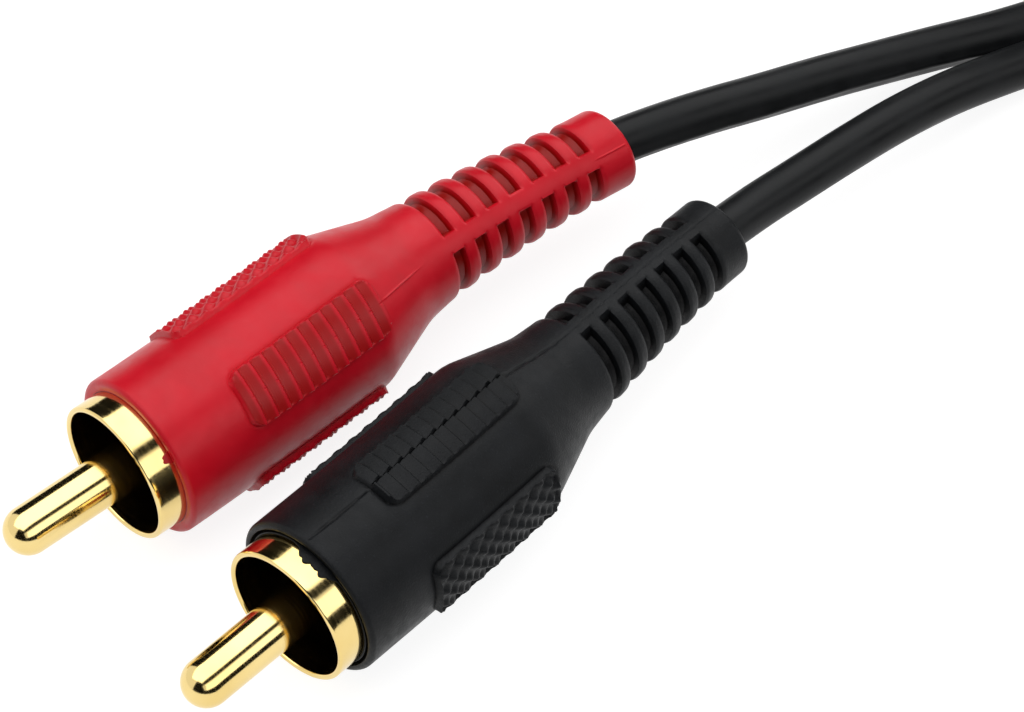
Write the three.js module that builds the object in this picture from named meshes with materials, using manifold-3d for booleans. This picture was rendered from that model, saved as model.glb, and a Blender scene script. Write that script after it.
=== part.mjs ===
import * as THREE from "three";
import { mergeVertices } from "three/addons/utils/BufferGeometryUtils.js";
import Module from "manifold-3d";

// A stereo phono lead: a red and a black moulded plug on each end of a twin lead.
// Lengths are millimetres, +Z is up, and the surface that the lead lies on is at z = 0.
// The two near plugs lie side by side round the origin with their pins towards -Y.
// Their leads join, leave towards +Y and end in a tied hank with the far plugs on it.

// Clearances
const FIT = 0.12; // between the nested pieces of a plug
const GAP = 0.3; // between pieces that only rest on or meet each other

// Centre pin
const PIN_DIAMETER = 3.2;
const PIN_REACH = 8.24; // tip ahead of the shell's rim
const PIN_NECK_DIAMETER = 2.2; // the solder end behind the insulator
const PIN_NECK_LENGTH = 2.5;

// Ground shell
const SHELL_DIAMETER = 9.56;
const SHELL_WALL = 0.4;
const SHELL_EXPOSED = 1.95; // rim to the front of the moulding
const SHELL_LENGTH = 10.8;
const RIM_ROUND = 0.18;

// Insulator inside the shell
const INSULATOR_DEPTH = 6.5; // below the rim

// Moulded body
const BODY_DIAMETER = 11.12;
const BODY_ROUND = 0.35;
const BODY_LENGTH = 17.03;
const NECK_DIAMETER = 7.8;
const NECK_LENGTH = 5.1; // the cone from the body to the neck
const RELIEF_DIAMETER = 7.24; // where the strain relief starts
const RELIEF_STEP = 2.3; // the short cone between the neck and the strain relief
const RELIEF_LENGTH = 13.2;
const COLLAR_DIAMETER = 5.75;
const COLLAR_LENGTH = 2.15;
const COLLAR_ROUND = 0.45;

// Finger pads on the body: two ridged ones in the parting plane, and two knurled ones beside it.
// Each pad's start is behind the front of the moulding.
const PAD_HEIGHT = 0.5;
const RIDGED_PAD = { start: 5.66, length: 11.9, halfAngle: THREE.MathUtils.degToRad(20.5) };
const RIGHT_PAD = { start: 5.56, length: 11.1, halfAngle: THREE.MathUtils.degToRad(24) };
const LEFT_PAD = { start: 5.33, length: 11.75, halfAngle: THREE.MathUtils.degToRad(24) };
const RIDGE_COUNT = 12;
const RIDGE_DEPTH = 0.3;
const PAD_SUNK = 0.25; // how far a pad's root lies inside the body

// Slots of the strain relief, on both sides of two long ribs
const SLOT_COUNT = 7;
const SLOT_PITCH = 1.9;
const SLOT_WIDTH = 0.95;
const SLOT_DEPTH = 1.05;
const SLOT_START = 0.25; // behind the start of the strain relief
const RIB_WIDTH = 1.3;

// Lead: two cores with a thin web between them where they are joined
const LEAD_DIAMETER = 3.1;
const CORE_PITCH = 3.45;
const CORE_INSULATION_DIAMETER = 1.9;
const CORE_WIRE_DIAMETER = 0.7;
const CORE_STRIP = 2.4; // bare wire between the pin's solder end and the insulation
const SHIELD_TAIL_DIAMETER = 0.8;
const SHIELD_TAIL_LENGTH = 10;

// Near plugs
const NEAR_TIP_SPREAD = 16.69; // between the two pin tips
const NEAR_TIP_Y = -25.3;
const NEAR_YAW = THREE.MathUtils.degToRad(2.64);
const RED_ROLL = THREE.MathUtils.degToRad(43);
const BLACK_ROLL = 0;

// Sideways and upward set of each near plug, at FLEX_START behind its tip and every FLEX_STEP
const FLEX_START = 10.7;
const FLEX_STEP = 8;
const RED_FLEX = [0, -0.25, -0.7, -1.12, -0.8, 0.05];
const BLACK_FLEX = [0, -0.05, -0.3, -0.85, -1.52, -2.05];
const BLACK_LIFT = [0, 0, 0, -0.05, -0.32, -1.05];
const STRAIGHT = [0, 0];

// Hank: the twin lead stands on edge in oblong turns, three abreast and two high
const FOLD_RADIUS = 9.3; // centre of the innermost turn
const HANK_RUN = 50;
const HANK_START_Y = 80; // centre of the near folds
const TURNS_ABREAST = 3;
const TURNS_HIGH = 2;
const TURN_SLACK = 0.1; // between turns that lie abreast
const LAYER_SLACK = 0.05;

// Tie round the middle of the hank
const TIE_WIDTH = 4;
const TIE_THICKNESS = 0.5;
const TIE_TAIL_LENGTH = 12;
const TIE_TAIL_THICKNESS = 1.4;
const TIE_CORNER = 1.2;

// Far plugs, side by side on the hank
const FAR_SPREAD = 12.5; // between their axes
const FAR_COLLAR_Y = 112;

// How round the solids are drawn
const ROUND_SIDES = 16;
const PIN_SIDES = 12;
const WIRE_SIDES = 8;
const ARC_STEPS = 2;
const TIP_STEPS = 4;
const PAD_STEPS = 2;
const PAD_ARC_STEPS = 2;
const HANK_END_STEPS = 14;
const TIE_CORNER_STEPS = 3;
const BEND_LENGTH = 8; // longest straight stretch of a solid that follows the plug's set
const OVERCUT = 1;

// Routes of the leads from the near collars to the hank, and from the hank to the far collars
const RED_NEAR_ROUTE = [
  [-5.15, 28.3, 5.4],
  [-3.97, 31.9, 5.2],
  [-2.82, 35.9, 4.6],
  [-1.7, 40.3, 3.85],
  [-0.4, 44.9, 3.05],
  [1.1, 49.5, 2.4],
  [2.7, 53.8, 1.95],
  [4.3, 58.2, 1.85],
  [6.5, 63.2, 2.75],
  [9.6, 68.1, 4.1],
  [12.9, 72.8, 4.85],
];
const BLACK_NEAR_ROUTE = [
  [3.75, 28.4, 4.5],
  [3.85, 32.2, 4.22],
  [4.05, 36.8, 3.98],
  [4.38, 41.6, 3.68],
  [4.85, 46.1, 3.12],
  [5.5, 50.4, 2.35],
  [6.2, 53.6, 1.85],
  [7.5, 57.2, 1.6],
  [9.5, 62, 1.6],
  [11.7, 67.2, 1.6],
  [13.9, 72.4, 1.6],
];
const RED_FAR_ROUTE = [
  [-15.7, 102, 11.7],
  [-15.6, 96, 13.3],
  [-15.3, 89, 16.4],
  [-14.6, 82, 18.1],
  [-12.4, 74.5, 18.3],
  [-7.5, 68.9, 18.3],
  [-1, 67, 18.3],
  [5, 69.2, 18.4],
  [8.2, 74.5, 18.6],
  [8.3, 81, 18.9],
  [5.6, 87.5, 19.1],
  [1, 93.5, 19.3],
  [-3.2, 99.5, 19.5],
  [-5.6, 105.5, 19.6],
];
const BLACK_FAR_ROUTE = [
  [-15.7, 102, 8.2],
  [-15.6, 96, 9.8],
  [-15.3, 89, 12.9],
  [-14.6, 82, 14.6],
  [-12.4, 74.5, 14.8],
  [-7.5, 68.9, 14.8],
  [-1, 67, 14.8],
  [5.2, 69, 14.9],
  [8.8, 74.5, 15.1],
  [9.5, 81.5, 15.6],
  [9, 88.5, 16.6],
  [8.2, 95.5, 17.9],
  [7.2, 102.5, 19.1],
  [6.4, 108, 19.5],
];

// Stations along a plug, measured from the tip of its pin
const RIM = PIN_REACH;
const FRONT = RIM + SHELL_EXPOSED;
const SHELL_END = RIM + SHELL_LENGTH;
const INSULATOR_FACE = RIM + INSULATOR_DEPTH;
const PIN_END = SHELL_END + PIN_NECK_LENGTH;
const BODY_END = FRONT + BODY_LENGTH;
const NECK_END = BODY_END + NECK_LENGTH;
const RELIEF_START = NECK_END + RELIEF_STEP;
const RELIEF_END = RELIEF_START + RELIEF_LENGTH;
const PLUG_LENGTH = RELIEF_END + COLLAR_LENGTH;

const PIN_RADIUS = PIN_DIAMETER / 2;
const PIN_NECK_RADIUS = PIN_NECK_DIAMETER / 2;
const SHELL_RADIUS = SHELL_DIAMETER / 2;
const SHELL_BORE_RADIUS = SHELL_RADIUS - SHELL_WALL;
const BODY_RADIUS = BODY_DIAMETER / 2;
const PAD_RADIUS = BODY_RADIUS + PAD_HEIGHT;
const INSULATION_RADIUS = CORE_INSULATION_DIAMETER / 2;
const WIRE_RADIUS = CORE_WIRE_DIAMETER / 2;
const TAIL_RADIUS = SHIELD_TAIL_DIAMETER / 2;

// The hank's outer shape
const LAYER_HEIGHT = CORE_PITCH + LEAD_DIAMETER + LAYER_SLACK;
const HANK_HEIGHT = TURNS_HIGH * LAYER_HEIGHT;
const OUTER_TURN_RADIUS = FOLD_RADIUS + (TURNS_ABREAST - 1) * (LEAD_DIAMETER + TURN_SLACK);
const HANK_RADIUS = OUTER_TURN_RADIUS + LEAD_DIAMETER / 2;
const TIE_Y = HANK_START_Y + HANK_RUN / 2;

const GOLD = { color: 0xe3bd62, roughness: 0.16, metalness: 1 };
const RED = { color: 0xb5121f, roughness: 0.42, metalness: 0 };
const BLACK = { color: 0x1d1f21, roughness: 0.5, metalness: 0 };
const INSULATOR = { color: 0x17181a, roughness: 0.5, metalness: 0 };
const COPPER = { color: 0xb87333, roughness: 0.35, metalness: 1 };
const POLYTHENE = { color: 0xe9e6dc, roughness: 0.5, metalness: 0 };
const TIE_BLACK = { color: 0x141414, roughness: 0.6, metalness: 0 };

const wasm = await Module();
wasm.setup();

// A closed three.js geometry as a solid that can be joined and cut.
function solid(geometry) {
  const bare = geometry.clone();
  bare.deleteAttribute("normal");
  bare.deleteAttribute("uv");
  const merged = mergeVertices(bare, 1e-4);
  return new wasm.Manifold(
    new wasm.Mesh({
      numProp: 3,
      vertProperties: new Float32Array(merged.attributes.position.array),
      triVerts: new Uint32Array(merged.index.array),
    }),
  );
}

// A solid back as a three.js geometry.
function geometryOf(made) {
  const { vertProperties, triVerts } = made.getMesh();
  const geometry = new THREE.BufferGeometry();
  geometry.setAttribute("position", new THREE.BufferAttribute(vertProperties, 3));
  geometry.setIndex(new THREE.BufferAttribute(triVerts, 1));
  geometry.computeVertexNormals();
  return geometry;
}

// Points of a profile round a corner, from one angle to another about a centre.
function arc(radius, station, round, from, to, steps = ARC_STEPS) {
  return Array.from({ length: steps + 1 }, (_, i) => {
    const angle = from + ((to - from) * i) / steps;
    return [radius + round * Math.cos(angle), station + round * Math.sin(angle)];
  });
}

// A solid of revolution about +Y from [radius, station] points that run anticlockwise.
function turned(profile, sides) {
  const points = [];
  profile.forEach(([radius, station], i) => {
    const [lastRadius, lastStation] = profile[Math.max(i - 1, 0)];
    const pieces = Math.max(1, Math.ceil(Math.abs(station - lastStation) / BEND_LENGTH));
    for (let k = 1; k <= pieces; k++) {
      const share = k / pieces;
      points.push(
        new THREE.Vector2(
          lastRadius + (radius - lastRadius) * share,
          lastStation + (station - lastStation) * share,
        ),
      );
    }
  });
  return new THREE.LatheGeometry(points, sides);
}

// A closed ring of rectangular section.
function ring(inner, outer, from, to, sides) {
  return turned([[inner, from], [outer, from], [outer, to], [inner, to], [inner, from]], sides);
}

// The set of a plug at a station: a smooth curve through its offsets.
function setAt(station, offsets) {
  const last = offsets.length - 1;
  const place = THREE.MathUtils.clamp((station - FLEX_START) / FLEX_STEP, 0, last);
  const i = Math.min(Math.floor(place), last - 1);
  const u = place - i;
  const [before, from, to, after] = [-1, 0, 1, 2].map(
    (k) => offsets[THREE.MathUtils.clamp(i + k, 0, last)],
  );
  const rise = (to - before) / 2;
  const leave = (after - from) / 2;
  return (
    (2 * u ** 3 - 3 * u ** 2 + 1) * from +
    (u ** 3 - 2 * u ** 2 + u) * rise +
    (3 * u ** 2 - 2 * u ** 3) * to +
    (u ** 3 - u ** 2) * leave
  );
}

// A round rod along a curve through points.
function rod(points, radius, sides, steps) {
  const section = new THREE.Shape();
  for (let i = 0; i < sides; i++) {
    const angle = (2 * Math.PI * i) / sides;
    const [x, y] = [radius * Math.cos(angle), radius * Math.sin(angle)];
    if (i === 0) section.moveTo(x, y);
    else section.lineTo(x, y);
  }
  section.closePath();
  const curve = new THREE.CatmullRomCurve3(points.map((p) => new THREE.Vector3(...p)));
  return new THREE.ExtrudeGeometry(section, { steps, extrudePath: curve, bevelEnabled: false });
}

// A finger pad: a sector of a ring about +Y, centred on an angle from straight up.
function pad(centre, { start, length, halfAngle }) {
  const shape = new THREE.Shape();
  const inner = BODY_RADIUS - PAD_SUNK;
  const up = centre - Math.PI / 2;
  shape.absarc(0, 0, PAD_RADIUS, up - halfAngle, up + halfAngle, false);
  shape.absarc(0, 0, inner, up + halfAngle, up - halfAngle, true);
  shape.closePath();
  const geometry = new THREE.ExtrudeGeometry(shape, {
    depth: length,
    steps: PAD_STEPS,
    curveSegments: PAD_ARC_STEPS,
    bevelEnabled: false,
  });
  geometry.rotateX(-Math.PI / 2);
  geometry.translate(0, FRONT + start, 0);
  return geometry;
}

// The strain relief's radius at a station, between its start and the collar.
function reliefRadius(station) {
  const share = (station - RELIEF_START) / RELIEF_LENGTH;
  return THREE.MathUtils.lerp(RELIEF_DIAMETER, COLLAR_DIAMETER, share) / 2;
}

// One plug, pin tip at the origin and lead towards +Y, turned by roll about its axis.
function plug({ name, look, roll, flex, lift }) {
  const group = new THREE.Group();

  // The roll and the sets are put into each geometry, so that nested pieces follow them.
  function shaped(geometry) {
    geometry.rotateY(roll);
    const places = geometry.attributes.position;
    for (let i = 0; i < places.count; i++) {
      const station = places.getY(i);
      places.setX(i, places.getX(i) + setAt(station, flex));
      places.setZ(i, places.getZ(i) + setAt(station, lift));
    }
    return geometry;
  }

  function add(part, geometry, finish) {
    const mesh = new THREE.Mesh(geometry, new THREE.MeshStandardMaterial(finish));
    mesh.name = `${name}_${part}`;
    group.add(mesh);
  }

  // Pin: a turned rod with a round nose and a thinner solder end
  const pin = [
    ...arc(0, PIN_RADIUS, PIN_RADIUS, -Math.PI / 2, 0, TIP_STEPS),
    [PIN_RADIUS, SHELL_END],
    [PIN_NECK_RADIUS, SHELL_END],
    [PIN_NECK_RADIUS, PIN_END],
    [0, PIN_END],
  ];
  pin[0][0] = 0;
  add("pin", shaped(turned(pin, PIN_SIDES)), GOLD);

  // Shell: a thin cup wall with a rounded rim
  const rimCentre = RIM + RIM_ROUND;
  const shell = [
    [SHELL_BORE_RADIUS, SHELL_END],
    ...arc(SHELL_BORE_RADIUS + RIM_ROUND, rimCentre, RIM_ROUND, Math.PI, 1.5 * Math.PI),
    ...arc(SHELL_RADIUS - RIM_ROUND, rimCentre, RIM_ROUND, -Math.PI / 2, 0),
    [SHELL_RADIUS, SHELL_END],
    [SHELL_BORE_RADIUS, SHELL_END],
  ];
  add("shell", shaped(turned(shell, ROUND_SIDES)), GOLD);

  // Insulator: a bush between the pin and the shell
  const bush = ring(
    PIN_RADIUS + FIT,
    SHELL_BORE_RADIUS - FIT,
    INSULATOR_FACE,
    SHELL_END,
    ROUND_SIDES,
  );
  add("insulator", shaped(bush), INSULATOR);

  // Core: the bare wire on the pin's solder end, and its insulation as far as the collar
  const insulationStart = PIN_END + CORE_STRIP;
  const wire = turned(
    [
      [0, PIN_END + FIT],
      [WIRE_RADIUS, PIN_END + FIT],
      [WIRE_RADIUS, PLUG_LENGTH],
      [0, PLUG_LENGTH],
    ],
    WIRE_SIDES,
  );
  add("core_wire", shaped(wire), COPPER);
  const insulation = ring(
    WIRE_RADIUS + FIT,
    INSULATION_RADIUS,
    insulationStart,
    PLUG_LENGTH,
    WIRE_SIDES,
  );
  add("core_insulation", shaped(insulation), POLYTHENE);

  // Shield tail: the twisted braid from the core's side to the back of the shell
  function tail(radius) {
    const beside = INSULATION_RADIUS + FIT + TAIL_RADIUS + FIT;
    const start = SHELL_END + FIT;
    const end = start + SHIELD_TAIL_LENGTH;
    const route = [
      [SHELL_RADIUS - SHELL_WALL - FIT, start, 0],
      [(SHELL_RADIUS + beside) / 2, start + SHIELD_TAIL_LENGTH / 3, 0],
      [beside, start + (2 * SHIELD_TAIL_LENGTH) / 3, 0],
      [beside, end, 0],
    ];
    return rod(route, radius, WIRE_SIDES, route.length);
  }
  add("shield_tail", shaped(tail(TAIL_RADIUS)), COPPER);

  // Moulding: body, cone, strain relief and collar in one piece
  const outside = [
    [0, FRONT],
    ...arc(BODY_RADIUS - BODY_ROUND, FRONT + BODY_ROUND, BODY_ROUND, -Math.PI / 2, 0),
    [BODY_RADIUS, BODY_END],
    [NECK_DIAMETER / 2, NECK_END],
    [RELIEF_DIAMETER / 2, RELIEF_START],
    [COLLAR_DIAMETER / 2, RELIEF_END],
    ...arc(
      COLLAR_DIAMETER / 2 - COLLAR_ROUND,
      PLUG_LENGTH - COLLAR_ROUND,
      COLLAR_ROUND,
      0,
      Math.PI / 2,
    ),
    [0, PLUG_LENGTH],
  ];
  let moulding = solid(shaped(turned(outside, ROUND_SIDES)));

  // Ridged pads in the parting plane, with a groove between each two ridges
  const ridgePitch = RIDGED_PAD.length / RIDGE_COUNT;
  for (const centre of [0, Math.PI]) {
    let ridged = solid(shaped(pad(centre, RIDGED_PAD)));
    for (let i = 1; i < RIDGE_COUNT; i++) {
      const station = FRONT + RIDGED_PAD.start + i * ridgePitch;
      const half = ridgePitch / 3;
      const groove = turned(
        [
          [PAD_RADIUS - RIDGE_DEPTH, station],
          [PAD_RADIUS + RIDGE_DEPTH, station - half],
          [PAD_RADIUS + RIDGE_DEPTH, station + half],
          [PAD_RADIUS - RIDGE_DEPTH, station],
        ],
        ROUND_SIDES,
      );
      ridged = ridged.subtract(solid(shaped(groove)));
    }
    moulding = moulding.add(ridged);
  }
  moulding = moulding.add(solid(shaped(pad(Math.PI / 2, RIGHT_PAD))));
  moulding = moulding.add(solid(shaped(pad(-Math.PI / 2, LEFT_PAD))));

  // Slots across the strain relief, stopped by the two long ribs
  const ribs = new THREE.BoxGeometry(RIB_WIDTH, RELIEF_LENGTH, BODY_DIAMETER, 1, 2, 1);
  ribs.translate(0, RELIEF_START + RELIEF_LENGTH / 2, 0);
  const ribSolid = solid(shaped(ribs));
  for (let i = 0; i < SLOT_COUNT; i++) {
    const from = RELIEF_START + SLOT_START + i * SLOT_PITCH;
    const floor = reliefRadius(from) - SLOT_DEPTH;
    const slot = ring(floor, BODY_RADIUS, from, from + SLOT_WIDTH, ROUND_SIDES);
    moulding = moulding.subtract(solid(shaped(slot)).subtract(ribSolid));
  }

  // Hollows for the pieces that the moulding holds
  const hollow = [
    [0, FRONT - OVERCUT],
    [SHELL_RADIUS + FIT, FRONT - OVERCUT],
    [SHELL_RADIUS + FIT, SHELL_END + FIT],
    [PIN_NECK_RADIUS + FIT, SHELL_END + FIT],
    [PIN_NECK_RADIUS + FIT, PIN_END + FIT],
    [INSULATION_RADIUS + FIT, PIN_END + FIT],
    [INSULATION_RADIUS + FIT, PLUG_LENGTH + OVERCUT],
    [0, PLUG_LENGTH + OVERCUT],
  ];
  moulding = moulding.subtract(solid(shaped(turned(hollow, ROUND_SIDES))));
  moulding = moulding.subtract(solid(shaped(tail(TAIL_RADIUS + FIT))));
  add("moulding", geometryOf(moulding), look);

  return group;
}

// Where a point of a plug's axis lies once the plug is placed.
function axisPoint(group, station, flex, lift) {
  group.updateMatrixWorld(true);
  return group
    .localToWorld(new THREE.Vector3(setAt(station, flex), station, setAt(station, lift)))
    .toArray();
}

// An oblong outline with round ends, from its half width and its straight run, drawn about +Y.
function oblong(halfWidth) {
  const shape = new THREE.Shape();
  const end = HANK_START_Y + HANK_RUN;
  shape.absarc(0, end, halfWidth, 0, Math.PI, false);
  shape.absarc(0, HANK_START_Y, halfWidth, Math.PI, 2 * Math.PI, false);
  shape.closePath();
  return shape;
}

// A rectangle with round corners as seen along the hank, on one base line.
function section(halfWidth, bottom, top, corner) {
  const shape = new THREE.Shape();
  shape.moveTo(halfWidth, bottom + corner);
  shape.absarc(halfWidth - corner, top - corner, corner, 0, Math.PI / 2, false);
  shape.absarc(-halfWidth + corner, top - corner, corner, Math.PI / 2, Math.PI, false);
  shape.absarc(-halfWidth + corner, bottom + corner, corner, Math.PI, 1.5 * Math.PI, false);
  shape.absarc(halfWidth - corner, bottom + corner, corner, 1.5 * Math.PI, 2 * Math.PI, false);
  shape.closePath();
  return shape;
}

// A shape drawn across the hank, given a length along +Y about the tie.
function acrossHank(shape, length) {
  const geometry = new THREE.ExtrudeGeometry(shape, {
    depth: length,
    steps: 1,
    curveSegments: TIE_CORNER_STEPS,
    bevelEnabled: false,
  });
  geometry.rotateX(Math.PI / 2);
  geometry.translate(0, TIE_Y + length / 2, 0);
  return geometry;
}

// The hank's outline as a solid, made larger all round by grow
function hankSolid(grow) {
  const geometry = new THREE.ExtrudeGeometry(oblong(HANK_RADIUS + grow), {
    depth: HANK_HEIGHT + 2 * grow,
    steps: 1,
    curveSegments: HANK_END_STEPS,
    bevelEnabled: false,
  });
  geometry.translate(0, 0, -grow);
  return solid(geometry);
}

// A free stretch of a lead, ended where it goes in among the turns
function lead(name, route) {
  const steps = route.length + 1;
  const whole = solid(rod(route, LEAD_DIAMETER / 2, WIRE_SIDES, steps));
  const free = whole.subtract(hankSolid(GAP));
  const mesh = new THREE.Mesh(geometryOf(free), new THREE.MeshStandardMaterial(BLACK));
  mesh.name = name;
  return mesh;
}

// The turns as one solid, with a groove for the tie in its sides and underside
function hank() {
  const grooveDepth = TIE_THICKNESS + GAP;
  const around = section(
    HANK_RADIUS + OVERCUT,
    -OVERCUT,
    HANK_HEIGHT + OVERCUT,
    TIE_CORNER,
  );
  around.holes.push(
    section(HANK_RADIUS - grooveDepth, grooveDepth, HANK_HEIGHT + GAP, TIE_CORNER),
  );
  const groove = solid(acrossHank(around, TIE_WIDTH + 2 * GAP));
  const geometry = geometryOf(hankSolid(0).subtract(groove));
  const mesh = new THREE.Mesh(geometry, new THREE.MeshStandardMaterial(BLACK));
  mesh.name = "lead_hank";
  return mesh;
}

// The tie: a band sunk into the hank's sides and underside, with its ends laid along one side
function tie() {
  const ceiling = HANK_HEIGHT + GAP;
  const band = section(HANK_RADIUS, 0, ceiling + TIE_THICKNESS, TIE_CORNER);
  band.holes.push(section(HANK_RADIUS - TIE_THICKNESS, TIE_THICKNESS, ceiling, TIE_CORNER));
  const tail = new THREE.BoxGeometry(TIE_TAIL_THICKNESS, TIE_TAIL_LENGTH, TIE_TAIL_THICKNESS);
  tail.translate(
    HANK_RADIUS + GAP + TIE_TAIL_THICKNESS / 2,
    TIE_Y + TIE_TAIL_LENGTH / 2,
    HANK_HEIGHT / 2,
  );
  const stem = new THREE.BoxGeometry(TIE_TAIL_THICKNESS, TIE_WIDTH / 2, TIE_TAIL_THICKNESS);
  stem.translate(HANK_RADIUS, TIE_Y + TIE_WIDTH / 4, HANK_HEIGHT / 2);
  const whole = solid(acrossHank(band, TIE_WIDTH)).add(solid(stem)).add(solid(tail));
  const mesh = new THREE.Mesh(geometryOf(whole), new THREE.MeshStandardMaterial(TIE_BLACK));
  mesh.name = "tie";
  return mesh;
}

const root = new THREE.Group();

// Near plugs: each lies on the lowest of its pads
const plugs = [
  {
    side: -1,
    colour: "red",
    look: RED,
    roll: RED_ROLL,
    flex: RED_FLEX,
    lift: STRAIGHT,
    height: PAD_RADIUS * Math.cos(RED_ROLL - RIDGED_PAD.halfAngle),
    nearRoute: RED_NEAR_ROUTE,
    farRoute: RED_FAR_ROUTE,
  },
  {
    side: 1,
    colour: "black",
    look: BLACK,
    roll: BLACK_ROLL,
    flex: BLACK_FLEX,
    lift: BLACK_LIFT,
    height: PAD_RADIUS,
    nearRoute: BLACK_NEAR_ROUTE,
    farRoute: BLACK_FAR_ROUTE,
  },
];

for (const { side, colour, look, roll, flex, lift, height, nearRoute, farRoute } of plugs) {
  const near = plug({ name: `${colour}_plug`, look, roll, flex, lift });
  near.position.set((side * NEAR_TIP_SPREAD) / 2, NEAR_TIP_Y, height);
  near.rotation.z = side * NEAR_YAW;
  root.add(near);

  const unbent = { roll: 0, flex: STRAIGHT, lift: STRAIGHT };
  const far = plug({ name: `${colour}_far_plug`, look, ...unbent });
  far.position.set(
    (side * FAR_SPREAD) / 2,
    FAR_COLLAR_Y + PLUG_LENGTH,
    HANK_HEIGHT + GAP + PAD_RADIUS,
  );
  far.rotation.z = Math.PI;
  root.add(far);

  const nearExit = axisPoint(near, PLUG_LENGTH + GAP, flex, lift);
  root.add(lead(`${colour}_lead_near`, [nearExit, ...nearRoute]));
  const farExit = axisPoint(far, PLUG_LENGTH + GAP, STRAIGHT, STRAIGHT);
  root.add(lead(`${colour}_lead_far`, [...farRoute, farExit]));
}

root.add(hank());
root.add(tie());

export default root;
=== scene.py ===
import math

import bpy
import numpy as np
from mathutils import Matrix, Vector


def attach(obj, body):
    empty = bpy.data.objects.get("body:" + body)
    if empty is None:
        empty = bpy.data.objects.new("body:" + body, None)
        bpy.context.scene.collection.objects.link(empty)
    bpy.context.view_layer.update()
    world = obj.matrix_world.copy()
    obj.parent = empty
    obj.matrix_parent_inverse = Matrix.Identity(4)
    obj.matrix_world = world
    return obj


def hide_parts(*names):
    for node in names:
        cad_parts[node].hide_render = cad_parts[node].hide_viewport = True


# Looks for a stereo phono lead: the moulded plugs, the two leads with their hank, and the tie.
# Lengths are written in millimetres and turned into metres where a mesh is made.
# +Z is up, the near plugs' pins point to -Y, and the floor is at z = 0.

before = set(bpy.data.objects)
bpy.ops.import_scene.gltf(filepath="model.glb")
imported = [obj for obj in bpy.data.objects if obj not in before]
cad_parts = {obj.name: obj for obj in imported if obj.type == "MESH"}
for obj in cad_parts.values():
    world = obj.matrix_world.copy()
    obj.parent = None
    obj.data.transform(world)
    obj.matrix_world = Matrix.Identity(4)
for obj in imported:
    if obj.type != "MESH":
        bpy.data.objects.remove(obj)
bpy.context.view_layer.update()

MM = 0.001
BODY = "root"

# Stations along a plug, from the tip of its pin
RIM = 8.24
FRONT = 10.19
INSULATOR_FACE = 14.74
SHELL_END = 19.04
PIN_END = 21.54
BODY_END = 27.22
NECK_END = 32.32
RELIEF_START = 34.62
RELIEF_END = 47.82
PLUG_LENGTH = 49.97

# Radii of a plug's pieces, and the rounds of their edges
PIN_RADIUS = 1.6
PIN_NECK_RADIUS = 1.1
SHELL_RADIUS = 4.78
SHELL_WALL = 0.4
RIM_ROUND = 0.18
FIT = 0.12  # between nested pieces
BODY_RADIUS = 5.56
BODY_ROUND = 0.35
NECK_RADIUS = 3.9
RELIEF_RADIUS = 3.62
COLLAR_RADIUS = 2.875
COLLAR_ROUND = 0.45

# Finger pads: two ridged ones in the parting plane, and a knurled one on each side of it
PAD_HEIGHT = 0.5
PAD_CORNER = 0.9
PAD_WALL = 0.14
RIDGED_HALF_ANGLE = math.radians(20.5)
SIDE_HALF_ANGLE = math.radians(24)
RIDGED_START = FRONT + 5.66
RIDGED_LENGTH = 11.9
RIGHT_START = FRONT + 5.56
LEFT_START = FRONT + 5.33
# Angle, start, length and height of each knurled pad
KNURLED_PADS = [
    (math.pi / 2, RIGHT_START, 11.1, 0.5),
    (-math.pi / 2, LEFT_START, 11.75, 0.42),
]
PADS_START = LEFT_START
PADS_END = RIDGED_START + RIDGED_LENGTH
RIDGE_COUNT = 12
RIDGE_FACE = 0.8  # the sloping face's share of a ridge
RIDGE_DEPTH = 0.32
KNURL_PITCH = 1.36
KNURL_DEPTH = 0.36
KNURL_ROUND = 1.3  # 1 is a sharp diamond, and more is a rounder one
KNURL_BORDER = 0.1
FOOT_DEPTH = 0.05  # of the thin line round a pad's foot

# Strain relief
SLOT_COUNT = 7
SLOT_PITCH = 1.9
SLOT_WIDTH = 0.95
SLOT_DEPTH = 1.05
SLOT_SHALLOWING = 0.3  # share of the depth that is missing midway between the ribs
SLOT_START = RELIEF_START + 0.25
RIB_HALF_WIDTH = 0.65
FIN_ROUND = 0.3
FIN_DROP = 0.14

# How the two colours of moulding differ: how far the front is sunk, the lip of its opening,
# and the angle and half width in radians and the reach of the flash over the shell
MOULDINGS = {
    "red": {"recess": 0.06, "lip": 0.14, "flash": (0.06, 0.07, 0.6)},
    "black": {"recess": 0.45, "lip": 0.32, "flash": (0.22, 0.3, 0.8)},
}

# Leads: the web is whole where the cores are close, and a ragged ridge where they are apart
LEAD_RADIUS = 1.55
CORE_PITCH = 3.45
GAP = 0.3
RING_SPACING = 0.95
LEAD_INSIDE = 1.2  # how far a lead goes into its plugs
WEB_HEIGHT = 0.19
TORN_HEIGHT = 0.13
TORN_RAGGED = 0.035
WEB_HALF_ANGLE = 0.15
JOINED_APART = 3.6
TORN_APART = 4.4

# The bend of a plug is given at FLEX_START behind its tip and every FLEX_STEP.
FLEX_START = 10.7
FLEX_STEP = 8
NEAR_YAW = math.radians(2.64)

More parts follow.
